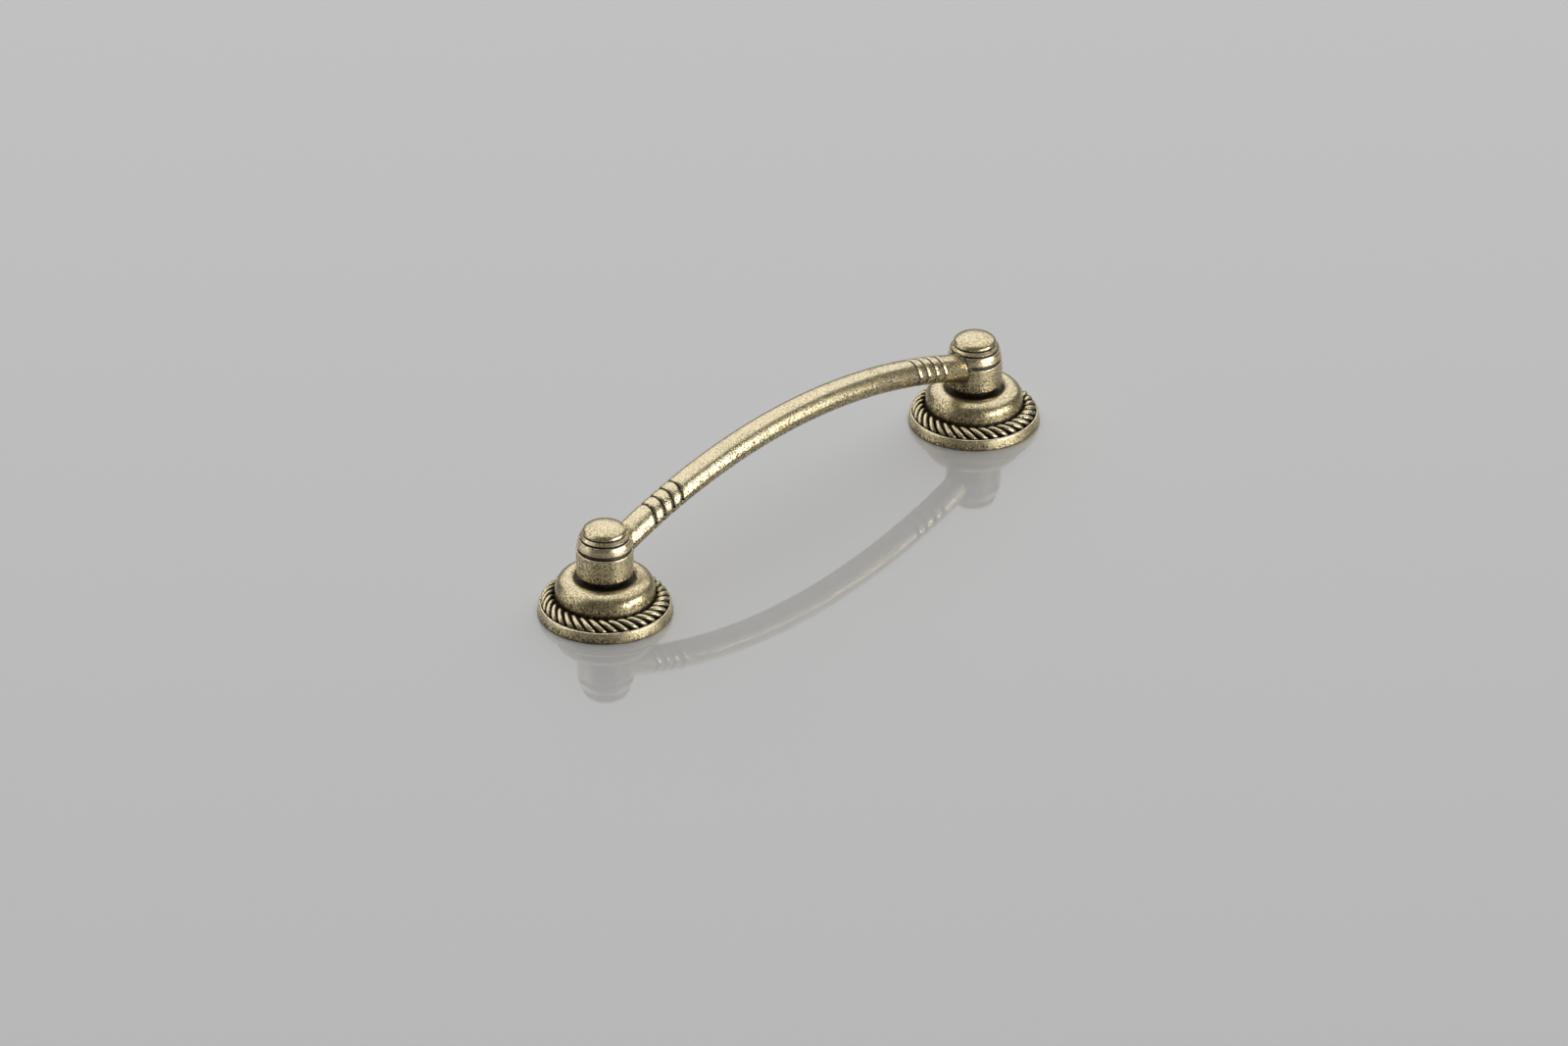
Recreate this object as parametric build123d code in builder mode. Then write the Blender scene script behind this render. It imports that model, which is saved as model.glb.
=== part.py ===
from build123d import *
from math import acos, asin, atan2, cos, degrees, hypot, radians, sin, sqrt
import os

os.makedirs("parts", exist_ok=True)

# Bow pull for a drawer or cabinet door, in millimetres.
# Z points away from the door front, X runs from post to post.
# The origin is midway between the posts, on the face of the door.

# Spacing of the two screws
hole_spacing = 128.0
half_spacing = hole_spacing / 2

# Rosette: stepped round plate with a rope ring and a dished cushion
rosette_r = 16.0
rim_top_z = 2.7
rim_w = 0.8
rim_round = 0.45
rim_lean = 10.0
outer_channel_w = 0.7
outer_channel_z = 2.2
inner_channel_w = 0.55
inner_channel_z = 3.9
cushion_r = 11.85
cushion_round = 3.5
dish_rim_z = 9.75
dish_depth = 0.85
dish_lip_round = 2.0
dish_bowl_round = 1.6
base_edge = 0.3

# Hollow underside of the rosette
foot_ring_w = 2.8
shell_wall = 1.9
step_roof_z = 2.2
hub_wall = 2.0
hub_recess = 0.2
cast_draft = 0.3

# Rope ring: eight-sided grains laid aslant, higher at the inner end
strand_count = 35
strand_sides = 8
strand_w = 1.48
strand_along = 3.25
strand_inset = 0.15
strand_rise = 0.38
strand_overlap = 0.2
strand_overrun = 0.25
strand_taper_l = 1.6
strand_taper_w = 0.45

# Post: spigot, neck seated in the dish, overhanging foot, turned collar, dome
post_r = 6.75
foot_z = 10.55
foot_round = 0.8
neck_r = 5.2
spigot_r = 3.3
spigot_end_z = 3.9
spigot_clearance = 0.3
spigot_edge = 0.4
lower_groove_z = 16.9
lower_groove_w = 0.85
lower_groove_r = 6.2
collar_low_r = 6.6
collar_top_r = 6.05
collar_top_z = 19.85
collar_bulge = 0.1
upper_groove_w = 0.5
upper_groove_r = 5.6
ring_r = 5.95
ring_h = 0.7
dome_groove_w = 0.4
dome_groove_r = 4.9
dome_r = 5.25
dome_h = 2.25
dome_shoulder = 1.3

# Screw hole in the post: tapping size for an M4 machine screw, blind
tap_drill_r = 1.65
tap_depth = 12.0
drill_point = 0.95

# Bow: one arc of an oval section, higher over the parting line than under it
bow_radius = 161.4
bow_parting_z = 26.85
bow_w = 6.9
bow_over_h = 3.85
bow_under_h = 3.0
root_fillet = 0.5

# Grooves round the bow in upright planes, the same number near each post
groove_count = 4
groove_from_post = 14.05
groove_pitch = 3.0
groove_w = 0.65
groove_depth = 0.4
groove_chamfer = 0.3

# Room that a cutter has beyond the metal, and how near an edge is to the surface it is told by
cutter_room = 1.0
edge_reach = 0.05

# Values that follow from the sizes above
bow_centre_z = bow_parting_z - bow_radius
bow_end_angle = degrees(asin(half_spacing / bow_radius))
rim_inner_r = rosette_r - rim_w
bed_outer_r = rim_inner_r - outer_channel_w
bed_inner_r = cushion_r + inner_channel_w
bed_slope = (inner_channel_z - outer_channel_z) / (bed_outer_r - bed_inner_r)
rosette_bore_r = spigot_r + spigot_clearance
hub_r = rosette_bore_r + hub_wall
cavity_r = rosette_r - foot_ring_w
dish_floor_z = dish_rim_z - dish_depth
dish_slope = degrees(acos(1 - dish_depth / (dish_lip_round + dish_bowl_round)))
cavity_roof_z = dish_floor_z - shell_wall
inner_wall_r = cushion_r - shell_wall
dish_rim_r = cushion_r - cushion_round
dish_floor_r = dish_rim_r - (dish_lip_round + dish_bowl_round) * sin(radians(dish_slope))
ring_low_z = collar_top_z + upper_groove_w
ring_top_z = ring_low_z + ring_h
dome_low_z = ring_top_z + dome_groove_w
dome_top_z = dome_low_z + dome_h
shoulder_x = dome_r - dome_shoulder
crown_r = (shoulder_x**2 + dome_h**2 - dome_shoulder**2) / (2 * (dome_h - dome_shoulder))
crown_angle = degrees(asin(shoulder_x / (crown_r - dome_shoulder)))
strand_r = (bed_outer_r + bed_inner_r) / 2 - strand_inset
strand_z = outer_channel_z + bed_slope * (bed_outer_r - strand_r) + strand_rise
strand_out = bed_outer_r - bed_inner_r + strand_overlap
strand_drop = inner_channel_z - outer_channel_z
strand_length = hypot(strand_out, strand_along, strand_drop) + strand_overrun
strand_turn = degrees(atan2(strand_along, strand_out))
strand_tilt = degrees(atan2(strand_drop, hypot(strand_out, strand_along)))
collar_stop_angle = degrees(asin((bow_w / 2 + root_fillet) / post_r))


def bow_plane(angle):
    lean = radians(angle)
    middle = (bow_radius * sin(lean), 0, bow_centre_z + bow_radius * cos(lean))
    return Plane(origin=middle, x_dir=(0, 1, 0), z_dir=(cos(lean), 0, -sin(lean)))


def bow_section(trim=0, stretch=1):
    left = (trim - bow_w / 2, 0)
    right = (bow_w / 2 - trim, 0)
    crown = (0, stretch * (bow_over_h - trim))
    belly = (0, stretch * (trim - bow_under_h))
    return (left, crown, right), (right, belly, left)


def over_parting(point):
    return hypot(point.X, point.Z - bow_centre_z) - bow_radius


def off_post(point):
    return hypot(half_spacing - abs(point.X), point.Y) - post_r


def post_plane(post_x, turn=0):
    away = radians(turn if post_x > 0 else turn + 180)
    return Plane(origin=(post_x, 0, 0), x_dir=(cos(away), sin(away), 0), z_dir=(sin(away), -cos(away), 0))


# One grain of the rope, along X
with BuildPart() as strand:
    with BuildSketch(Plane.YZ):
        RegularPolygon(strand_w / 2, strand_sides, rotation=180 / strand_sides)
    extrude(amount=strand_length / 2, both=True)
    for end_face in (strand.faces().sort_by(Axis.X)[0], strand.faces().sort_by(Axis.X)[-1]):
        chamfer(
            end_face.edges(),
            length=strand_taper_w,
            length2=strand_taper_l,
            reference=end_face,
        )

# Left rosette
with BuildPart() as rosette_left:
    with BuildSketch(post_plane(-half_spacing)):
        with BuildLine():
            Polyline(
                (dish_floor_r, dish_floor_z),
                (rosette_bore_r, dish_floor_z),
                (rosette_bore_r, hub_recess),
                (hub_r, hub_recess),
                (hub_r + cast_draft, cavity_roof_z),
                (dish_rim_r, cavity_roof_z),
                (inner_wall_r, cavity_roof_z - shell_wall),
                (inner_wall_r + cast_draft, step_roof_z + cast_draft),
                (cavity_r - cast_draft, step_roof_z - cast_draft),
                (cavity_r, 0),
                (rosette_r - base_edge, 0),
                (rosette_r, base_edge),
            )
            rim_arc = JernArc((rim_inner_r, rim_top_z), (1, 0), rim_round, rim_lean - 90)
            Line((rosette_r, base_edge), rim_arc @ 1)
            Polyline(
                (rim_inner_r, rim_top_z),
                (rim_inner_r, outer_channel_z),
                (bed_outer_r, outer_channel_z),
                (bed_inner_r, inner_channel_z),
                (cushion_r, inner_channel_z),
                (cushion_r, dish_rim_z - cushion_round),
            )
            JernArc((cushion_r, dish_rim_z - cushion_round), (0, 1), cushion_round, 90)
            lip_arc = JernArc((dish_rim_r, dish_rim_z), (-1, 0), dish_lip_round, dish_slope)
            JernArc(lip_arc @ 1, lip_arc % 1, dish_bowl_round, -dish_slope)
        make_face()
    revolve(axis=Axis((-half_spacing, 0, 0), (0, 0, 1)))
    with Locations((-half_spacing, 0, 0)):
        with PolarLocations(0, strand_count):
            with Locations(Location((strand_r, 0, strand_z), (0, 0, strand_turn))):
                with Locations(Location((0, 0, 0), (0, strand_tilt, 0))):
                    add(strand.part)
rosette_left.part.label = "rosette_left"
export_step(rosette_left.part, "parts/rosette_left.step")

# Right rosette: the same casting at the other post
with BuildPart() as rosette_right:
    with Locations((hole_spacing, 0, 0)):
        add(rosette_left.part)
rosette_right.part.label = "rosette_right"
export_step(rosette_right.part, "parts/rosette_right.step")

# The bow alone, from the middle of one post to the middle of the other
with BuildPart() as bow:
    with BuildSketch(bow_plane(-bow_end_angle)):
        with BuildLine():
            for arc_points in bow_section():
                ThreePointArc(*arc_points)
        make_face()
    revolve(axis=Axis((0, 0, bow_centre_z), (0, 1, 0)), revolution_arc=2 * bow_end_angle)

# Posts and bow, one casting
with BuildPart() as bow_handle:
    add(bow.part)
    for post_x in (-half_spacing, half_spacing):
        with BuildSketch(post_plane(post_x)):
            with BuildLine():
                Polyline(
                    (0, ring_top_z),
                    (0, spigot_end_z),
                    (spigot_r - spigot_edge, spigot_end_z),
                    (spigot_r, spigot_end_z + spigot_edge),
                    (spigot_r, dish_floor_z),
                    (neck_r, dish_floor_z),
                    (neck_r, foot_z),
                    (post_r - foot_round, foot_z),
                )
                JernArc((post_r - foot_round, foot_z), (1, 0), foot_round, 90)
                Polyline((post_r, foot_z + foot_round), (post_r, ring_top_z), (0, ring_top_z))
            make_face()
        revolve(axis=Axis((post_x, 0, 0), (0, 0, 1)))

    # Fillet where the bow runs into each post
    root_edges = bow_handle.edges().filter_by(
        lambda edge: abs(edge.center().X) < half_spacing
        and abs(off_post(edge @ 0)) < edge_reach
        and abs(off_post(edge @ 1)) < edge_reach
        and foot_z + foot_round + edge_reach < edge.center().Z < ring_top_z - edge_reach
    )
    fillet(root_edges, radius=root_fillet)

    # Ring and dome turned down from the post, clear of the bow's crown
    for post_x in (-half_spacing, half_spacing):
        with BuildSketch(post_plane(post_x)):
            Polygon(
                (upper_groove_r, collar_top_z),
                (post_r + cutter_room, collar_top_z),
                (post_r + cutter_room, ring_top_z + cutter_room),
                (dome_r, ring_top_z + cutter_room),
                (dome_r, ring_top_z),
                (ring_r, ring_low_z),
                (upper_groove_r, ring_low_z),
                align=None,
            )
        revolve(axis=Axis((post_x, 0, 0), (0, 0, 1)), mode=Mode.SUBTRACT)
        with BuildSketch(post_plane(post_x)):
            with BuildLine():
                Polyline(
                    (0, dome_top_z),
                    (0, ring_low_z),
                    (dome_groove_r, ring_low_z),
                    (dome_groove_r, dome_low_z),
                    (dome_r, dome_low_z),
                )
                shoulder = JernArc((dome_r, dome_low_z), (0, 1), dome_shoulder, 90 - crown_angle)
                JernArc(shoulder @ 1, shoulder % 1, crown_r, crown_angle)
            make_face()
        revolve(axis=Axis((post_x, 0, 0), (0, 0, 1)))
    add(bow.part)

    # Collar taper and its groove, stopping at the sides of the bow
    for post_x in (-half_spacing, half_spacing):
        with BuildSketch(post_plane(post_x, 180 + collar_stop_angle)):
            with BuildLine():
                SagittaArc(
                    (collar_top_r, collar_top_z),
                    (collar_low_r, lower_groove_z + lower_groove_w),
                    collar_bulge,
                )
                Polyline(
                    (collar_low_r, lower_groove_z + lower_groove_w),
                    (lower_groove_r, lower_groove_z + lower_groove_w),
                    (lower_groove_r, lower_groove_z),
                    (post_r + cutter_room, lower_groove_z),
                    (post_r + cutter_room, collar_top_z),
                    (collar_top_r, collar_top_z),
                )
            make_face()
        revolve(
            axis=Axis((post_x, 0, 0), (0, 0, 1)),
            revolution_arc=360 - 2 * collar_stop_angle,
            mode=Mode.SUBTRACT,
        )

    # Grooves round the bow, each cut along the run of the bow and chamfered at its lips
    for index in range(groove_count):
        groove_x = half_spacing - groove_from_post - index * groove_pitch
        for side in (-1, 1):
            lean = asin(groove_x / bow_radius)
            run = Vector(cos(lean), 0, -side * sin(lean))
            middle = Vector(side * groove_x, 0, bow_centre_z + sqrt(bow_radius**2 - groove_x**2))
            start = middle - run * (groove_w / 2 / cos(lean))
            with BuildSketch(Plane(origin=start, x_dir=(0, 1, 0), z_dir=(1, 0, 0))):
                Rectangle(bow_w + cutter_room, 2 * bow_over_h + cutter_room)
                with BuildLine():
                    for arc_points in bow_section(groove_depth, 1 / cos(lean)):
                        ThreePointArc(*arc_points)
                make_face(mode=Mode.SUBTRACT)
            extrude(amount=groove_w / cos(lean), dir=run, mode=Mode.SUBTRACT)
            lips = bow_handle.edges(Select.LAST).filter_by(
                lambda edge: abs(over_parting(edge @ 0.5) - bow_over_h) < edge_reach
                or abs(over_parting(edge @ 0.5) + bow_under_h) < edge_reach
            )
            chamfer(lips, length=groove_chamfer)

    # Screw holes, up from the spigot ends
    for post_x in (-half_spacing, half_spacing):
        with BuildSketch(post_plane(post_x)):
            with BuildLine():
                Polyline(
                    (0, spigot_end_z),
                    (tap_drill_r, spigot_end_z),
                    (tap_drill_r, spigot_end_z + tap_depth),
                    (0, spigot_end_z + tap_depth + drill_point),
                    close=True,
                )
            make_face()
        revolve(axis=Axis((post_x, 0, 0), (0, 0, 1)), mode=Mode.SUBTRACT)
bow_handle.part.label = "bow_handle"
export_step(bow_handle.part, "parts/bow_handle.step")
print("bow_handle", bow_handle.part.volume, len(bow_handle.solids()), bow_handle.part.is_valid)
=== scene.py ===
from math import acos, asin, atan2, cos, degrees, hypot, pi, radians, sin, tan

import bmesh
import bpy
from mathutils import Matrix, Vector


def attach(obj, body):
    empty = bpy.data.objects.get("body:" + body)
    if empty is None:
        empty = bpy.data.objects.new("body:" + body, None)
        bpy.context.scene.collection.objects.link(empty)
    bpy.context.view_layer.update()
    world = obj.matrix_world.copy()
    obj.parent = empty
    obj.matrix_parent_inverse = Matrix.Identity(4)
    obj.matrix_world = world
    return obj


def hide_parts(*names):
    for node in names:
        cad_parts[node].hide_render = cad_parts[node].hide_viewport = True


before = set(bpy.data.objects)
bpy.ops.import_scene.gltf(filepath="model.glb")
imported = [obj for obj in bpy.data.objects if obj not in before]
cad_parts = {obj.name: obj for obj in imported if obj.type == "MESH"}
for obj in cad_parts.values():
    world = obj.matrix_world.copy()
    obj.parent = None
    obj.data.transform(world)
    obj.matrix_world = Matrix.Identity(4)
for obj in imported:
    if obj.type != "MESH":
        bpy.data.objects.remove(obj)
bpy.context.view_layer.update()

# Antique brass bow pull: one cast bow with its two posts, and a rosette under each post.
# Sizes in the dictionaries are millimetres and degrees, and meshes are made in metres.
mm = 0.001
tiny = 1e-6  # a length below this counts as none
sharpFrom = 42  # faces that meet at more than this many degrees shade as a sharp edge
halfSpacing = 64.0  # the screw holes are 128 mm apart
scene = bpy.context.scene


class Wire:
    # an output socket of a node; sums and products of wires add Math nodes to its tree
    def __init__(self, socket):
        self.socket = socket

    @staticmethod
    def node(tree, kind, settings=None, inputs=None, output=0):
        made = tree.nodes.new(kind)
        for key, value in (settings or {}).items():
            setattr(made, key, value)
        for key, value in (inputs or {}).items():
            for part in value if isinstance(value, list) else [value]:
                if isinstance(part, Wire):
                    tree.links.new(part.socket, made.inputs[key])
                else:
                    made.inputs[key].default_value = part
        return Wire(made.outputs[output]) if made.outputs else None

    def math(self, operation, *others):
        inputs = dict(enumerate((self, *others)))
        return Wire.node(self.socket.id_data, "ShaderNodeMath", {"operation": operation}, inputs)

    def flipped(self, operation, other):
        inputs = {0: other, 1: self}
        return Wire.node(self.socket.id_data, "ShaderNodeMath", {"operation": operation}, inputs)

    def __add__(self, other):
        return self.math("ADD", other)

    def __radd__(self, other):
        return self.flipped("ADD", other)

    def __sub__(self, other):
        return self.math("SUBTRACT", other)

    def __rsub__(self, other):
        return self.flipped("SUBTRACT", other)

    def __mul__(self, other):
        return self.math("MULTIPLY", other)

    def __rmul__(self, other):
        return self.flipped("MULTIPLY", other)

    def __truediv__(self, other):
        return self.math("DIVIDE", other)

    def __rtruediv__(self, other):
        return self.flipped("DIVIDE", other)

    def remap(self, low, high, toLow=0.0, toHigh=1.0, smooth=False):
        settings = {"interpolation_type": "SMOOTHSTEP" if smooth else "LINEAR", "clamp": True}
        inputs = {0: self, 1: low, 2: high, 3: toLow, 4: toHigh}
        return Wire.node(self.socket.id_data, "ShaderNodeMapRange", settings, inputs)


def mixColours(tree, share, first, second):
    settings = {"data_type": "RGBA", "clamp_factor": True}
    return Wire.node(tree, "ShaderNodeMix", settings, {0: share, 6: first, 7: second}, 2)


def combine(tree, x=0.0, y=0.0, z=0.0):
    return Wire.node(tree, "ShaderNodeCombineXYZ", inputs={0: x, 1: y, 2: z})


# Camera at the photograph's viewing angle
cameraSizes = {
    "azimuth": -46.51,
    "elevation": 29.5,
    "distance": 2334.67,
    "aimRight": -2.09,
    "aimUp": -2.29,
    "focalPixels": 9973.0,
    "imageWidth": 1600.0,
    "sensorWidth": 36.0,
}


def addCamera(sizes):
    azimuth = radians(sizes["azimuth"])
    rise = radians(sizes["elevation"])
    back = Vector((sin(azimuth) * cos(rise), -cos(azimuth) * cos(rise), sin(rise)))
    right = Vector((cos(azimuth), sin(azimuth), 0))
    up = back.cross(right)
    data = bpy.data.cameras.new("camera")
    data.sensor_width = sizes["sensorWidth"]
    data.lens = sizes["focalPixels"] / sizes["imageWidth"] * sizes["sensorWidth"]
    data.clip_start = 0.01
    camera = bpy.data.objects.new("camera", data)
    place = right * sizes["aimRight"] + up * sizes["aimUp"] + back * sizes["distance"]
    axes = Matrix((right, up, back)).transposed()
    camera.matrix_world = Matrix.Translation(place * mm) @ axes.to_4x4()
    scene.collection.objects.link(camera)
    scene.camera = camera


addCamera(cameraSizes)
print("camera placed")

# Soft studio light, with sizes in metres here. A direction turns from +X towards +Y,
# and the brightness is what a mirror would show.
lowSide = {"turn": -75.5, "away": 0.66, "wide": 0.53, "high": 0.24}
lightSizes = {
    "overhead": {"turn": 43.4, "rise": 60, "away": 2.2, "wide": 5.4, "high": 4.6, "bright": 0.97},
    "side": {**lowSide, "rise": 9.6, "bright": 6.0},
    "sideInFloor": {**lowSide, "rise": -9.6, "bright": 12.0},
    "edge": {"turn": 138.4, "rise": 22, "away": 1.2, "wide": 1.1, "high": 0.95, "bright": 0.95},
}
metalPieces = bpy.data.collections.new("metalPieces")


def addSoftbox(name, sizes):
    azimuth = radians(sizes["turn"])
    rise = radians(sizes["rise"])
    toward = Vector((cos(azimuth) * cos(rise), sin(azimuth) * cos(rise), sin(rise)))
    data = bpy.data.lights.new(name, "AREA")
    data.shape = "RECTANGLE"
    data.size = sizes["wide"]
    data.size_y = sizes["high"]
    data.energy = sizes["bright"] * pi * sizes["wide"] * sizes["high"]
    lamp = bpy.data.objects.new(name, data)
    lamp.location = toward * sizes["away"]
    lamp.rotation_euler = toward.to_track_quat("Z", "Y").to_euler()
    lamp.visible_diffuse = name == "overhead"
    lamp.visible_camera = False
    if name in ("side", "sideInFloor"):
        # these light the metal alone, or the floor would show the low lamp as a white sheet
        lamp.light_linking.receiver_collection = metalPieces
    if name == "sideInFloor":
        # this lamp stands where the floor mirrors the low one, so the floor must not shade it
        lamp.light_linking.blocker_collection = metalPieces
    scene.collection.objects.link(lamp)


for lightName, sizes in lightSizes.items():
    addSoftbox(lightName, sizes)

stageColours = {
    "floor": (0.60, 0.60, 0.60, 1),
    "surround": (0.11, 0.11, 0.11, 1),
    "backdrop": (0.48, 0.48, 0.48, 1),
}


def addSurround(colours):
    world = bpy.data.worlds.new("studio")
    world.use_nodes = True
    tree = world.node_tree
    tree.nodes.clear()
    seen = Wire.node(tree, "ShaderNodeLightPath")  # Is Camera Ray
    colour = mixColours(tree, seen, colours["surround"], colours["backdrop"])
    light = Wire.node(tree, "ShaderNodeBackground", inputs={"Color": colour, "Strength": 1.0})
    Wire.node(tree, "ShaderNodeOutputWorld", inputs={"Surface": light})
    scene.world = world


def addFloor(colours, width=8.0):
    material = bpy.data.materials.new("floorPale")
    material.use_nodes = True
    shader = material.node_tree.nodes["Principled BSDF"]
    shader.inputs["Base Color"].default_value = colours["floor"]
    shader.inputs["Roughness"].default_value = 0.5
    shader.inputs["Coat Weight"].default_value = 1.0
    shader.inputs["Coat Roughness"].default_value = 0.04
    shader.inputs["Coat IOR"].default_value = 1.8
    mesh = bpy.data.meshes.new("floor")
    half = width / 2
    corners = [(-half, -half, 0), (half, -half, 0), (half, half, 0), (-half, half, 0)]
    mesh.from_pydata(corners, [], [(0, 1, 2, 3)])
    mesh.materials.append(material)
    floor = bpy.data.objects.new("floor", mesh)
    scene.collection.objects.link(floor)


addSurround(stageColours)
addFloor(stageColours)
scene.view_settings.view_transform = "Standard"
print("stage lit")


# Antique brass: pale worn metal over olive, brown and near-black patina; in a few places the
# near-black stands for painted shade
brassColours = {
    "worn": (0.84, 0.73, 0.50, 1),
    "tarnished": (0.36, 0.285, 0.115, 1),
    "patina": (0.030, 0.024, 0.019, 1),
}
# Noise scales are per metre. Each noise moves patina, tarnish, roughness and height by its share.
brassGrain = {
    "cloudScale": 260.0,
    "gritScale": 2000.0,
    "grainScale": 3000.0,
    "specks": (0.57, 0.67),
    "speckle": (-0.1, 0.4, 0.45, 1.3),
    "patinaCloud": 0.30,
    "patinaGrit": 2.8,
    "patinaSpecks": 0.25,
    "patinaEdge": (0.40, 0.80),
    "tarnishCloud": 0.5,
    "tarnishGrit": 3.2,
    "tarnishGrain": 1.8,
    "tarnishPatina": 1.5,
    "tarnishEdge": (-0.10, 0.85),
    "tarnishSpecks": 0.35,
    "polish": 0.19,
    "dullGrit": 0.16,
    "dullTarnish": 0.08,
    "dullPatina": 0.22,
    "patinaCover": 0.85,
    "gritHeight": 0.6,
    "specksHeight": -0.4,
    "bumpStrength": 0.8,
    "bumpDistance": 0.00010,
}


def antiqueBrass(name, colours, s, offset, tarnish):
    material = bpy.data.materials.new(name)
    material.use_nodes = True
    tree = material.node_tree
    shader = tree.nodes["Principled BSDF"]
    place = Wire.node(tree, "ShaderNodeTexCoord", output=3)  # Object
    place = Wire.node(tree, "ShaderNodeMapping", inputs={"Vector": place, "Location": offset})
    # the patina attribute: patina in the hollows, plus painted shade under the bar, at its roots,
    # on its flanks and low on the rim
    dark = Wire.node(tree, "ShaderNodeAttribute", {"attribute_name": "patina"}, output=2)

    def noise(scale, detail, roughness=0.5):
        return Wire.node(tree, "ShaderNodeTexNoise", inputs={
            "Vector": place, "Scale": scale, "Detail": detail, "Roughness": roughness,
        })

    cloud = noise(s["cloudScale"], detail=3.0)
    grit = noise(s["gritScale"], detail=4.0, roughness=0.75)
    grain = noise(s["grainScale"], detail=2.0)
    specks = grain.remap(*s["specks"])
    speckle = dark.remap(*s["speckle"])  # worn places are calmer than dark ones
    deep = dark + (cloud - 0.5) * s["patinaCloud"] + (grit - 0.5) * speckle * s["patinaGrit"]
    deep = deep + specks * speckle * s["patinaSpecks"]
    deep = deep.remap(*s["patinaEdge"], smooth=True)
    fine = (grit - 0.5) * s["tarnishGrit"] + (grain - 0.5) * s["tarnishGrain"]
    film = (cloud - 0.5) * s["tarnishCloud"] + fine * speckle + dark * s["tarnishPatina"] + tarnish
    film = film.remap(*s["tarnishEdge"])
    share = film + specks * s["tarnishSpecks"]
    metal = mixColours(tree, share, colours["worn"], colours["tarnished"])
    colour = mixColours(tree, deep, metal, colours["patina"])
    rough = s["polish"] + (grit - 0.5) * s["dullGrit"]
    rough = rough + film * s["dullTarnish"] + deep * s["dullPatina"]
    metallic = 1.0 - deep * s["patinaCover"]
    bump = Wire.node(tree, "ShaderNodeBump", inputs={
        "Strength": s["bumpStrength"], "Distance": s["bumpDistance"],
        "Height": grit * s["gritHeight"] + specks * s["specksHeight"],
    })
    wires = {"Base Color": colour, "Roughness": rough, "Metallic": metallic, "Normal": bump}
    for socket, wire in wires.items():
        tree.links.new(wire.socket, shader.inputs[socket])
    return material


bowBrass = antiqueBrass("bowBrass", brassColours, brassGrain, (0.0, 0.0, 0.0), 0.0)
rosetteBrass = antiqueBrass("rosetteBrass", brassColours, brassGrain, (0.3, 0.1, 0.2), 0.10)
print("materials made")


# Turned forms: corners are (radius, height, rounding, patina and painted shade), where 0 is worn,
# 1 is dark
def roundCorners(corners, closed, steps=5, edgeShare=0.49):
    outline = []
    for index, (x, y, rounding, patina) in enumerate(corners):
        end = not closed and index in (0, len(corners) - 1)
        if end or not rounding:
            outline.append((x, y, patina))
            continue
        here = Vector((x, y))
        before = Vector(corners[index - 1][:2]) - here
        after = Vector(corners[(index + 1) % len(corners)][:2]) - here
        half = before.angle(after) / 2
        reach = min(rounding / tan(half), edgeShare * before.length, edgeShare * after.length)
        radius = reach * tan(half)
        between = (before.normalized() + after.normalized()).normalized()
        middle = here + between * radius / sin(half)
        first = here + before.normalized() * reach - middle
        last = here + after.normalized() * reach - middle
        sweep = first.angle_signed(last)
        for step in range(steps + 1):
            spoke = first.copy()
            spoke.rotate(Matrix.Rotation(-sweep * step / steps, 2))
            outline.append((middle.x + spoke.x, middle.y + spoke.y, patina))
    return outline


def arcCorners(middle, radius, start, end, steps, patina, patinaAndShadeEnd=None):
    change = 0 if patinaAndShadeEnd is None else patinaAndShadeEnd - patina
    for step in range(steps + 1):
        share = step / steps
        angle = radians(start + (end - start) * share)
        x = middle[0] + radius * cos(angle)
        y = middle[1] + radius * sin(angle)
        yield x, y, 0, patina + change * share


def fillStretches(outline, closed, spacing, edge=0.06):
    # extra points along long stretches, and one close to each end of them, keep the shading true
    filled = []
    count = len(outline) if closed else len(outline) - 1
    for index in range(count):
        x0, y0, p0 = outline[index]
        x1, y1, p1 = outline[(index + 1) % len(outline)]
        length = hypot(x1 - x0, y1 - y0)
        shares = [0.0]
        if length > 4 * edge:
            middle = length - 2 * edge
            inner = max(1, round(middle / spacing))
            shares += [(edge + middle * k / inner) / length for k in range(inner + 1)]
        filled += [(x0 + (x1 - x0) * s, y0 + (y1 - y0) * s, p0 + (p1 - p0) * s) for s in shares]
    if not closed:
        filled.append(outline[-1])
    return filled


def turnShell(outline, centreX, segments, closed, shape=None):
    # a closed shell turned about the upright axis at centreX, with its poles closed
    bm = bmesh.new()
    patinaAndShadeLayer = bm.verts.layers.float.new("patina")
    rings = []
    for radius, height, patina in outline:
        ring = []
        for k in range(segments if radius > tiny else 1):
            angle = 2 * pi * k / segments
            r, stainAndShade = shape(radius, height, angle, patina) if shape else (radius, patina)
            place = ((centreX + r * cos(angle)) * mm, r * sin(angle) * mm, height * mm)
            vertex = bm.verts.new(place)
            vertex[patinaAndShadeLayer] = stainAndShade
            ring.append(vertex)
        rings.append(ring)
    above = rings[1:] + rings[:1] if closed else rings[1:]
    for lower, upper in zip(rings, above):
        for k in range(segments):
            n = (k + 1) % segments
            corners = [
                lower[k % len(lower)], lower[n % len(lower)],
                upper[n % len(upper)], upper[k % len(upper)],
            ]
            bm.faces.new(list(dict.fromkeys(corners)))  # a pole gives the same corner twice
    bmesh.ops.recalc_face_normals(bm, faces=bm.faces)
    mesh = bpy.data.meshes.new("turned")
    bm.to_mesh(mesh)
    bm.free()
    return mesh


def joinMeshes(name, meshes):
    bm = bmesh.new()
    for mesh in meshes:
        bm.from_mesh(mesh)
        bpy.data.meshes.remove(mesh)
    joined = bpy.data.meshes.new(name)
    bm.to_mesh(joined)
    bm.free()
    made = bpy.data.objects.new(name, joined)
    scene.collection.objects.link(made)
    return made


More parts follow.
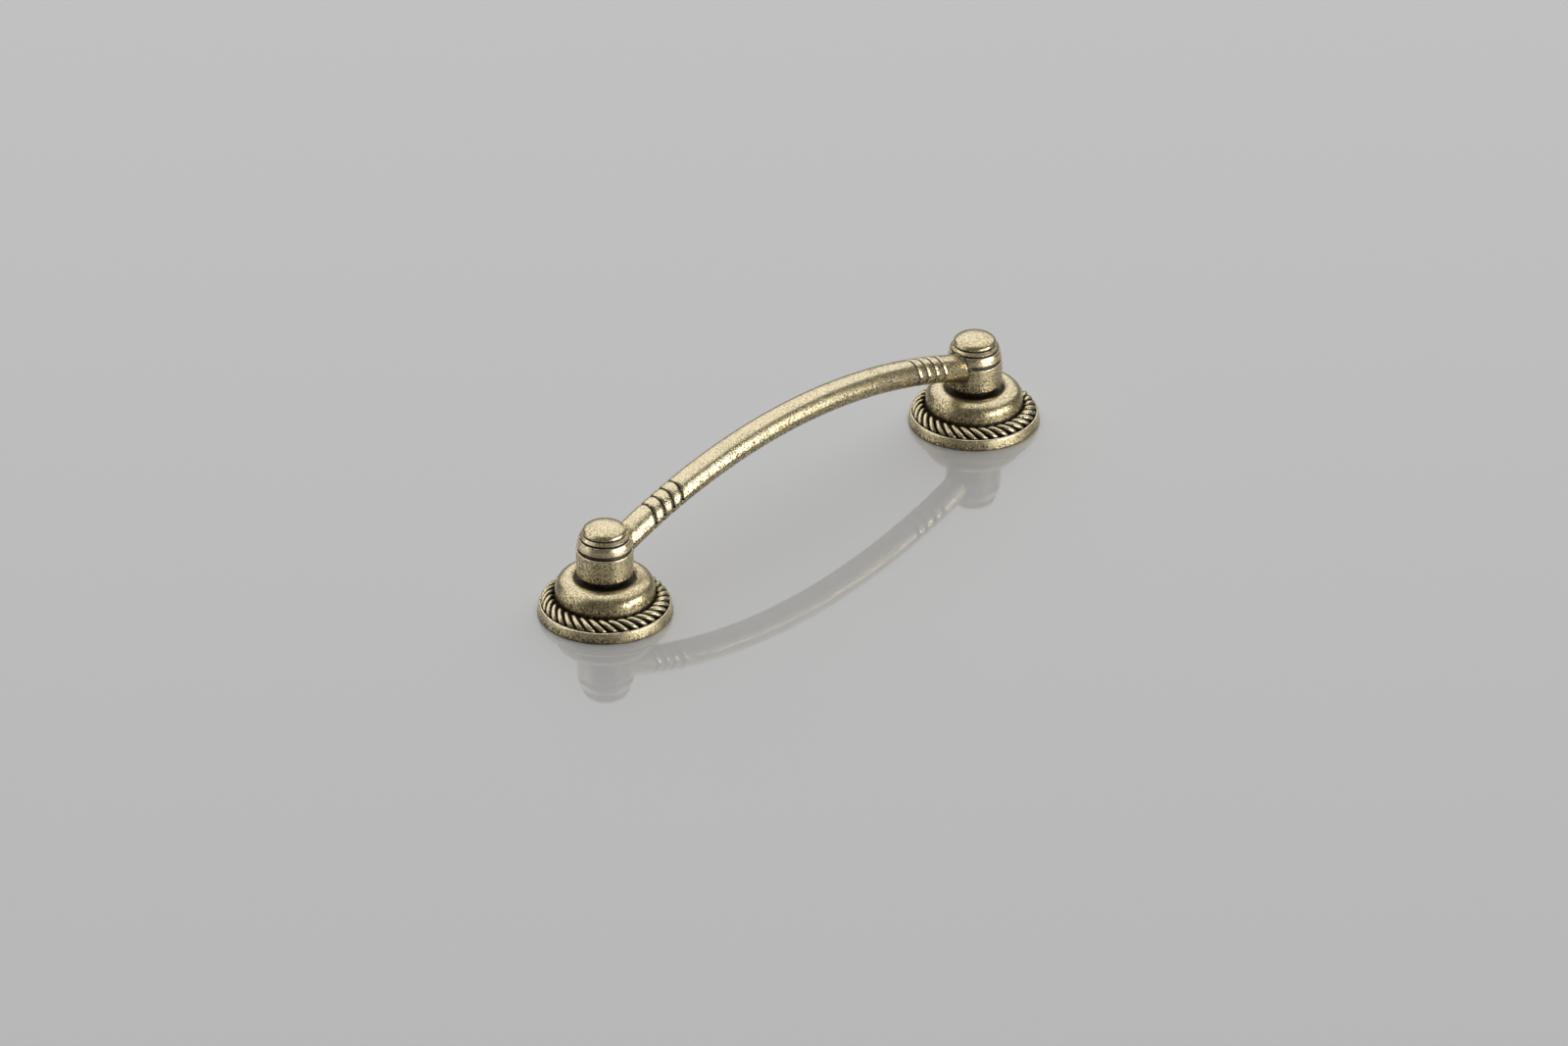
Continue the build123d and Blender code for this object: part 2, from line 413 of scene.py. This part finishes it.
def geometryTree(name, sizes, kinds):
    # a node group with the piece's mesh and its named sizes as inputs
    tree = bpy.data.node_groups.new(name, "GeometryNodeTree")
    tree.interface.new_socket("Geometry", in_out="INPUT", socket_type="NodeSocketGeometry")
    tree.interface.new_socket("Geometry", in_out="OUTPUT", socket_type="NodeSocketGeometry")
    for key in sizes:
        kind = kinds.get(key, "NodeSocketFloat")
        tree.interface.new_socket(key, in_out="INPUT", socket_type=kind)
    source = tree.nodes.new("NodeGroupInput")
    return tree, {socket.name: Wire(socket) for socket in source.outputs if socket.name}


def curveThrough(tree, count, places):
    line = Wire.node(tree, "GeometryNodeMeshLine", inputs={"Count": count})
    line = Wire.node(tree, "GeometryNodeSetPosition", inputs={0: line, "Position": places})
    return Wire.node(tree, "GeometryNodeMeshToCurve", inputs={0: line})


def storePatinaAndShade(tree, geometry, patina):
    inputs = {0: geometry, "Name": "patina", "Value": patina}
    return Wire.node(tree, "GeometryNodeStoreNamedAttribute", inputs=inputs)


def finishTree(tree, geometry, material):
    real = Wire.node(tree, "GeometryNodeRealizeInstances", inputs={0: geometry})
    inputs = {0: real, "Material": material}
    painted = Wire.node(tree, "GeometryNodeSetMaterial", inputs=inputs)
    Wire.node(tree, "NodeGroupOutput", inputs={0: painted})


def applyTree(piece, tree, sizes):
    modifier = piece.modifiers.new("form", "NODES")
    modifier.node_group = tree
    for item in tree.interface.items_tree:
        if item.in_out == "INPUT" and item.name in sizes:
            modifier[item.identifier] = sizes[item.name]
    evaluated = piece.evaluated_get(bpy.context.evaluated_depsgraph_get())
    mesh = bpy.data.meshes.new_from_object(evaluated)
    piece.modifiers.remove(modifier)
    piece.data = mesh
    mesh.name = piece.name
    mesh.shade_smooth()
    mesh.set_sharp_from_angle(angle=radians(sharpFrom))
    print(piece.name, len(mesh.vertices), "vertices")


# Rosette: stepped plate with a rope ring round a dished cushion, hollow underneath
rosetteSizes = {
    "radius": 15.99,
    "rimTop": 2.69,
    "rimWidth": 0.79,
    "rimRound": 0.45,
    "rimDraft": 0.1,
    "rimBevel": 0.3,
    "channelHeight": 2.2,
    "bedOuter": 14.5,
    "bedInner": 12.4,
    "innerChannelHeight": 3.9,
    "stainFull": 0.7,
    "stainEnd": 1.6,
    "cushionRadius": 11.85,
    "cushionRound": 3.5,
    "dishRim": 9.74,
    "dishDepth": 0.85,
    "lipRound": 2.0,
    "bowlRound": 1.6,
    "bore": 3.6,
    "hub": 5.6,
    "hubRecess": 0.2,
    "cavityRadius": 13.2,
    "cavityRoof": 7.0,
    "stepRoof": 2.2,
    "shellWall": 1.9,
    "draft": 0.3,
    "spacing": 0.35,
    "segments": 140,
}
# A strand is worn where it faces straight out from its sloping bed, and dark in the furrows.
ropeSizes = {
    "strands": 35,
    "ringRadius": 13.35,
    "ringHeight": 3.2,
    "slope": 35.7,
    "halfWidth": 1.38,
    "rise": 0.85,
    "lean": 2.2,
    "reach": 84.0,
    "thickness": 0.66,
    "endThickness": 0.34,
    "wornFrom": 0.45,
    "wornTo": 0.92,
    "furrowPatina": 0.95,
    "wear": 1.1,
    "stations": 13,
    "sides": 12,
}


def rosetteOutline(s):
    lipOuter = s["cushionRadius"] - s["cushionRound"]
    shoulder = s["dishRim"] - s["cushionRound"]
    inner = s["cushionRadius"] - s["shellWall"]
    floor = s["dishRim"] - s["dishDepth"]
    bends = s["lipRound"] + s["bowlRound"]
    slope = acos(1 - s["dishDepth"] / bends)
    dip = degrees(slope)
    bowl = (lipOuter - bends * sin(slope), floor + s["bowlRound"])
    lip = (lipOuter, s["dishRim"] - s["lipRound"])
    channel = s["innerChannelHeight"]
    rimInner = s["radius"] - s["rimWidth"]
    rimRound = (rimInner, s["rimTop"] - s["rimRound"])
    top = [
        (s["bore"], floor, 0.1, 1.0),
        *arcCorners(bowl, s["bowlRound"], 270, 270 + dip, 5, 0.88, 0.64),
        *list(arcCorners(lip, s["lipRound"], 90 + dip, 90, 7, 0.64, -0.05))[1:],
        *arcCorners((lipOuter, shoulder), s["cushionRound"], 84, 0, 14, -0.05, 0.42),
        (s["cushionRadius"], channel + s["stainEnd"], 0, 0.3),
        (s["cushionRadius"], channel + s["stainFull"], 0, 0.9),
        (s["cushionRadius"], channel, 0.25, 1.0),
        (s["bedInner"], channel, 0.2, 1.0),
        (s["bedOuter"], s["channelHeight"], 0.2, 1.0),
        (rimInner - s["rimDraft"], s["channelHeight"], 0.15, 1.0),
        (rimInner, s["rimTop"], 0.12, 0.0),
    ]
    side = [
        *arcCorners(rimRound, s["rimRound"], 80, 10, 6, -0.1, 0.08),
        # the outer face darkens towards the floor: painted shade standing for the shadowed floor
        # that it mirrors
        (s["radius"], s["rimBevel"], 0.0, 0.5),
        (s["radius"] - s["rimBevel"], 0.0, 0.1, 0.7),
    ]
    under = [
        (s["cavityRadius"], 0.0, 0.2, 0.5),
        (s["cavityRadius"] - s["draft"], s["stepRoof"] - s["draft"], 0.5, 0.8),
        (inner + s["draft"], s["stepRoof"] + s["draft"], 0.5, 0.7),
        (inner, s["cavityRoof"] - s["shellWall"], 1.2, 0.8),
        (lipOuter, s["cavityRoof"], 0.8, 0.8),
        (s["hub"] + s["draft"], s["cavityRoof"], 0.5, 0.9),
        (s["hub"], s["hubRecess"], 0.2, 0.5),
        (s["bore"], s["hubRecess"], 0.15, 0.5),
    ]
    return fillStretches(roundCorners(top + side + under, True), True, s["spacing"])


def buildRopeTree(sizes, material):
    kinds = {key: "NodeSocketInt" for key in ("strands", "stations", "sides")}
    tree, size = geometryTree("ropeRing", sizes, kinds)
    along = Wire.node(tree, "GeometryNodeInputIndex") / (size["stations"] - 1.0) * 2.0 - 1.0
    angle = (along * size["reach"]).math("RADIANS")
    across = angle.math("SINE") * size["halfWidth"]
    above = angle.math("COSINE") * size["rise"]
    slope = size["slope"].math("RADIANS")
    radius = size["ringRadius"] + across * slope.math("COSINE") + above * slope.math("SINE")
    height = size["ringHeight"] - across * slope.math("SINE") + above * slope.math("COSINE")
    turned = along * size["lean"] / size["ringRadius"]
    x = radius * turned.math("COSINE") * mm
    y = radius * turned.math("SINE") * mm
    curve = curveThrough(tree, size["stations"], combine(tree, x, y, height * mm))
    taper = 1.0 - (along * along) * (along * along)
    thick = (size["endThickness"] + (size["thickness"] - size["endThickness"]) * taper) * mm
    circle = Wire.node(tree, "GeometryNodeCurvePrimitiveCircle", inputs={
        "Resolution": size["sides"], "Radius": 1.0,
    })
    strand = Wire.node(tree, "GeometryNodeCurveToMesh", inputs={
        0: curve, 1: circle, "Scale": thick, "Fill Caps": True,
    })
    crest = combine(tree, slope.math("SINE"), 0.0, slope.math("COSINE"))
    normal = Wire.node(tree, "GeometryNodeInputNormal")
    settings = {"operation": "DOT_PRODUCT"}
    facing = Wire.node(tree, "ShaderNodeVectorMath", settings, {0: normal, 1: crest}, 1)
    worn = facing.remap(size["wornFrom"], size["wornTo"])
    strand = storePatinaAndShade(tree, strand, size["furrowPatina"] - worn * size["wear"])
    ring = Wire.node(tree, "GeometryNodeMeshLine", inputs={
        "Count": size["strands"], "Offset": (0.0, 0.0, 0.0),
    })
    step = Wire.node(tree, "GeometryNodeInputIndex") * (2 * pi) / size["strands"]
    spin = Wire.node(tree, "FunctionNodeEulerToRotation", inputs={0: combine(tree, z=step)})
    ring = Wire.node(tree, "GeometryNodeInstanceOnPoints", inputs={
        "Points": ring, "Instance": strand, "Rotation": spin,
    })
    ring = Wire.node(tree, "GeometryNodeTransform", inputs={
        0: ring, "Translation": combine(tree, size["centreX"] * mm),
    })
    both = Wire.node(tree, "GeometryNodeJoinGeometry", inputs={0: [size["Geometry"], ring]})
    finishTree(tree, both, material)
    return tree


def makeRosette(name, node, centreX):
    turned = turnShell(rosetteOutline(rosetteSizes), centreX, rosetteSizes["segments"], True)
    piece = joinMeshes(name, [turned])
    sizes = {**ropeSizes, "centreX": centreX}
    applyTree(piece, buildRopeTree(sizes, rosetteBrass), sizes)
    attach(piece, "root")
    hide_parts(node)
    metalPieces.objects.link(piece)


makeRosette("left_rosette_cast", "rosette_left", -halfSpacing)
makeRosette("right_rosette_cast", "rosette_right", halfSpacing)
print("rosettes made")


# Post: dome, ring, collar and foot over a neck and spigot, with the tapped screw hole
postSizes = {
    "radius": 6.75,
    "footBottom": 10.45,
    "footRound": 0.55,
    "neck": 5.2,
    "seat": 8.9,
    "spigot": 3.3,
    "spigotEnd": 3.9,
    "lowerGroove": 16.9,
    "lowerGrooveWidth": 0.85,
    "lowerGrooveRadius": 6.2,
    "collarLow": 6.6,
    "collarBulge": 6.39,
    "collarBulgeHeight": 18.9,
    "collarTop": 6.05,
    "collarTopHeight": 19.85,
    "upperGrooveWidth": 0.5,
    "upperGrooveRadius": 5.6,
    "ring": 5.95,
    "ringHeight": 0.7,
    "domeGrooveWidth": 0.4,
    "domeGrooveRadius": 4.9,
    "dome": 5.25,
    "domeHeight": 2.25,
    "tapRadius": 1.65,
    "tapDepth": 12.0,
    "drillPoint": 0.95,
    "threadDepth": 0.32,
    "threadPitch": 0.7,
    "grooveStain": 0.6,
    "footStain": 1.6,
    "rootStain": 2.5,
    "rootPatina": 0.75,
    "spacing": 0.4,
    "segments": 100,
}


def postOutline(s):
    ringLow = s["collarTopHeight"] + s["upperGrooveWidth"]
    ringTop = ringLow + s["ringHeight"]
    domeLow = ringTop + s["domeGrooveWidth"]
    arc = arcCorners((0, 0), 1, 90, 4, 22, -0.1, 0.28)
    dome = [(s["dome"] * x, domeLow + s["domeHeight"] * y, 0, patina) for x, y, _, patina in arc]
    grooveTop = s["lowerGroove"] + s["lowerGrooveWidth"]
    holeTop = s["spigotEnd"] + s["tapDepth"]
    corners = [
        (0.0, *dome[0][1:]),
        *dome[1:],
        (s["dome"], domeLow, 0.1, 0.35),
        (s["domeGrooveRadius"], domeLow, 0.05, 1.0),
        (s["domeGrooveRadius"], ringTop, 0.05, 1.0),
        (s["dome"], ringTop, 0.12, 0.2),
        (s["ring"], ringLow, 0.22, 0.2),
        (s["upperGrooveRadius"], ringLow, 0.05, 1.0),
        (s["upperGrooveRadius"], s["collarTopHeight"], 0.05, 1.0),
        (s["collarTop"], s["collarTopHeight"], 0.2, 0.2),
        (s["collarBulge"], s["collarBulgeHeight"], 1.5, 0.0),
        (s["collarLow"], grooveTop, 0.2, 0.25),
        (s["lowerGrooveRadius"], grooveTop, 0.1, 1.0),
        (s["lowerGrooveRadius"], s["lowerGroove"], 0.1, 1.0),
        (s["radius"], s["lowerGroove"], 0.25, 0.1),
        (s["radius"], s["lowerGroove"] - s["grooveStain"], 0.0, 0.28),
        (s["radius"], s["footBottom"] + s["footStain"], 0.0, 0.36),
        (s["radius"], s["footBottom"], s["footRound"], 0.52),
        (s["neck"], s["footBottom"], 0.1, 1.0),
        (s["neck"], s["seat"], 0, 1.0),
        (s["spigot"], s["seat"], 0.1, 1.0),
        (s["spigot"], s["spigotEnd"], 0.4, 0.5),
        (s["tapRadius"], s["spigotEnd"], 0.1, 0.4),
    ]
    outline = fillStretches(roundCorners(corners, False), False, s["spacing"])
    hole = [(s["tapRadius"], s["spigotEnd"], 0.4), (s["tapRadius"], holeTop, 0.9)]
    outline += fillStretches(hole, False, s["threadPitch"] / 4)[1:]
    outline.append((0.0, holeTop + s["drillPoint"], 1.0))
    return outline


def makePost(centreX, s):
    inward = pi if centreX > 0 else 0.0

    def worked(radius, height, angle, patina):
        # a screw thread in the hole, and painted shade with some patina on the post's side under
        # the root of the bar
        inHole = abs(radius - s["tapRadius"]) < tiny
        inside = min(height - s["spigotEnd"], s["spigotEnd"] + s["tapDepth"] - height)
        if inHole and inside >= s["threadPitch"] / 2:
            share = (height / s["threadPitch"] - angle / (2 * pi)) % 1
            radius += s["threadDepth"] * (1 - abs(2 * share - 1))
        # painted shade: the post darkens below its lower groove on the side facing the bar, where
        # the bar shades it
        under = min(1, max(0, (s["lowerGroove"] - height) / s["rootStain"]))
        facing = max(0, cos(angle - inward)) ** 4  # narrows the patch
        return radius, max(patina, facing * under * s["rootPatina"])

    return turnShell(postOutline(s), centreX, s["segments"], False, worked)


# Bow: an arc of an oval section with flatter flanks and a fine parting line.
# It has a fillet where it meets each post, and grooves cut across it near the posts.
bowSizes = {
    "arcRadius": 161.4,
    "partingHeight": 26.85,
    "endX": 61.6,
    "detailShare": 0.44,
    "detailX": 38.0,
    "stations": 480,
    "postX": halfSpacing,
    "postRadius": postSizes["radius"],
    "collarLow": postSizes["lowerGroove"],
    "collarHigh": postSizes["collarTopHeight"],
    "collarRadius": postSizes["collarTop"],
    "flare": 0.55,
    "rootStain": 1.4,
    "rootPatina": 0.72,
    "grooves": 4.0,
    "groovePitch": 3.0,
    "grooveX": 49.95,
    "grooveHalf": 0.95,
    "grooveDepth": 0.44,
    "grooveStainFrom": 0.64,
    "grooveStainTo": 0.82,
}
sectionSizes = {
    "width": 6.9,
    "crown": 3.83,
    "crownRadius": 3.0,
    "flankFrom": 36.0,
    "belly": 2.98,
    "bellyInset": 0.04,
    "bellyGap": 2.5,  # times partingHalf
    "bellyTo": 86.0,
    "partingHalf": 0.17,
    "partingDepth": 0.14,
    "partingSlope": 0.1,
}


def makeSection(s):
    # the flank's arc leaves the crown's arc smoothly and ends at the parting line
    half = s["width"] / 2
    turnOff = radians(s["flankFrom"])
    x = s["crownRadius"] * cos(turnOff)
    y = s["crown"] - s["crownRadius"] * (1 - sin(turnOff))
    across, down = half - x, y - s["partingHalf"]
    lean = atan2(across, down)
    flank = hypot(across, down) / (2 * sin(turnOff - lean))
    flankTo = degrees(2 * lean - turnOff)
    flankMiddle = (x - flank * cos(turnOff), y - flank * sin(turnOff))
    crownMiddle = (0, s["crown"] - s["crownRadius"])
    belly = (half**2 + s["belly"]**2) / (2 * s["belly"])
    bellyMiddle = (0, belly - s["belly"])
    bellyFrom = degrees(asin((belly - s["belly"] - s["bellyGap"] * s["partingHalf"]) / belly))
    right = [
        *list(arcCorners(crownMiddle, s["crownRadius"], 90, s["flankFrom"], 14, 0.0))[1:],
        # the flanks darken from 0.18 to 0.45: patina, with painted shade that dims the flanks'
        # highlight
        *list(arcCorners(flankMiddle, flank, s["flankFrom"], flankTo, 10, 0.18, 0.45))[1:],
        (half - s["partingDepth"], s["partingHalf"] - s["partingSlope"], 0.0, 1.0),
        (half - s["partingDepth"], s["partingSlope"] - s["partingHalf"], 0.0, 1.0),
        (half - s["bellyInset"], -s["partingHalf"], 0.0, 0.75),
        *arcCorners(bellyMiddle, belly, -bellyFrom, -s["bellyTo"], 12, 0.42, 0.3),
    ]
    left = [(-x, y, rounding, patina) for x, y, rounding, patina in reversed(right)]
    top = [(0.0, s["crown"], 0.0, 0.0)]
    outline = roundCorners(top + right + left, True)[::-1]
    mesh = bpy.data.meshes.new("bowSection")
    edges = [(k, (k + 1) % len(outline)) for k in range(len(outline))]
    mesh.from_pydata([(x * mm, y * mm, 0) for x, y, patina in outline], edges, [])
    sectionStainsAndShade = mesh.attributes.new("sectionPatina", "FLOAT", "POINT")
    sectionStainsAndShade.data.foreach_set("value", [patina for x, y, patina in outline])
    section = bpy.data.objects.new("bowSection", mesh)
    scene.collection.objects.link(section)
    return section


def buildBowTree(sizes, material):
    kinds = {"stations": "NodeSocketInt", "section": "NodeSocketObject"}
    tree, size = geometryTree("bow", sizes, kinds)
    # stations lie closer together near the posts than in the middle
    share = Wire.node(tree, "GeometryNodeInputIndex") / (size["stations"] - 1.0)
    detail = size["detailShare"]
    ends = share.remap(0.0, detail) + share.remap(1.0 - detail, 1.0)
    middle = share.remap(detail, 1.0 - detail)
    reach = (size["endX"] - size["detailX"]) * ends + 2.0 * size["detailX"] * middle
    reach = reach - size["endX"]
    rise = (size["arcRadius"] * size["arcRadius"] - reach * reach).math("SQRT")
    height = rise + (size["partingHeight"] - size["arcRadius"])
    curve = curveThrough(tree, size["stations"], combine(tree, reach * mm, 0.0, height * mm))
    curve = Wire.node(tree, "GeometryNodeSetCurveNormal", {"mode": "FREE"}, {
        0: curve, "Normal": combine(tree, y=1.0),
    })
    profile = Wire.node(tree, "GeometryNodeObjectInfo", inputs={0: size["section"]}, output=4)
    profile = Wire.node(tree, "GeometryNodeMeshToCurve", inputs={0: profile})
    bar = Wire.node(tree, "GeometryNodeCurveToMesh", inputs={
        0: curve, 1: profile, "Fill Caps": True,
    })

    # grooves push the surface in, and the fillet at each post pushes it out
    position = Wire.node(tree, "GeometryNodeInputPosition")
    x, y, z = (
        Wire.node(tree, "ShaderNodeSeparateXYZ", inputs={0: position}, output=axis) / mm
        for axis in range(3)
    )
    steps = (size["grooveX"] - x.math("ABSOLUTE")) / size["groovePitch"]
    nearest = steps.math("ROUND").math("MAXIMUM", 0.0).math("MINIMUM", size["grooves"] - 1.0)
    miss = (steps - nearest).math("ABSOLUTE") * size["groovePitch"]
    grooveHit = 1.0 - (miss / size["grooveHalf"]).math("MINIMUM", 1.0)
    away = x.math("ABSOLUTE") - size["postX"]
    collar = Wire.node(tree, "ShaderNodeMapRange", inputs={
        0: z, 1: size["collarLow"], 2: size["collarHigh"],
        3: size["postRadius"], 4: size["collarRadius"],
    })
    distance = (away * away + y * y).math("SQRT") - collar
    gap = distance.math("MAXIMUM", 0.0).math("MINIMUM", size["flare"])
    left = size["flare"] - gap
    swell = size["flare"] - (size["flare"] * size["flare"] - left * left).math("SQRT")
    outward = (swell - grooveHit * grooveHit * size["grooveDepth"]) * mm
    normal = Wire.node(tree, "GeometryNodeInputNormal")
    offset = Wire.node(tree, "ShaderNodeVectorMath", {"operation": "SCALE"}, {
        0: normal, "Scale": outward,
    })
    # darker within reach of each post: patina at the joint, with painted shade where the post
    # shades the bar
    rootPatina = distance.remap(0.0, size["rootStain"], size["rootPatina"], 0.0)
    groovePatina = grooveHit.remap(size["grooveStainFrom"], size["grooveStainTo"])
    flankPatinaAndShade = Wire.node(tree, "GeometryNodeInputNamedAttribute", inputs={
        "Name": "sectionPatina",
    })
    patina = groovePatina.math("MAXIMUM", rootPatina).math("MAXIMUM", flankPatinaAndShade)
    bar = storePatinaAndShade(tree, bar, patina)
    bar = Wire.node(tree, "GeometryNodeSetPosition", inputs={0: bar, "Offset": offset})
    both = Wire.node(tree, "GeometryNodeJoinGeometry", inputs={0: [size["Geometry"], bar]})
    finishTree(tree, both, material)
    return tree


posts = [makePost(side * halfSpacing, postSizes) for side in (-1, 1)]
bow = joinMeshes("bow_cast", posts)
section = makeSection(sectionSizes)
sizes = {**bowSizes, "section": section}
applyTree(bow, buildBowTree(sizes, bowBrass), sizes)
bpy.data.objects.remove(section)
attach(bow, "root")
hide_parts("bow_handle")
metalPieces.objects.link(bow)
print("bow made")
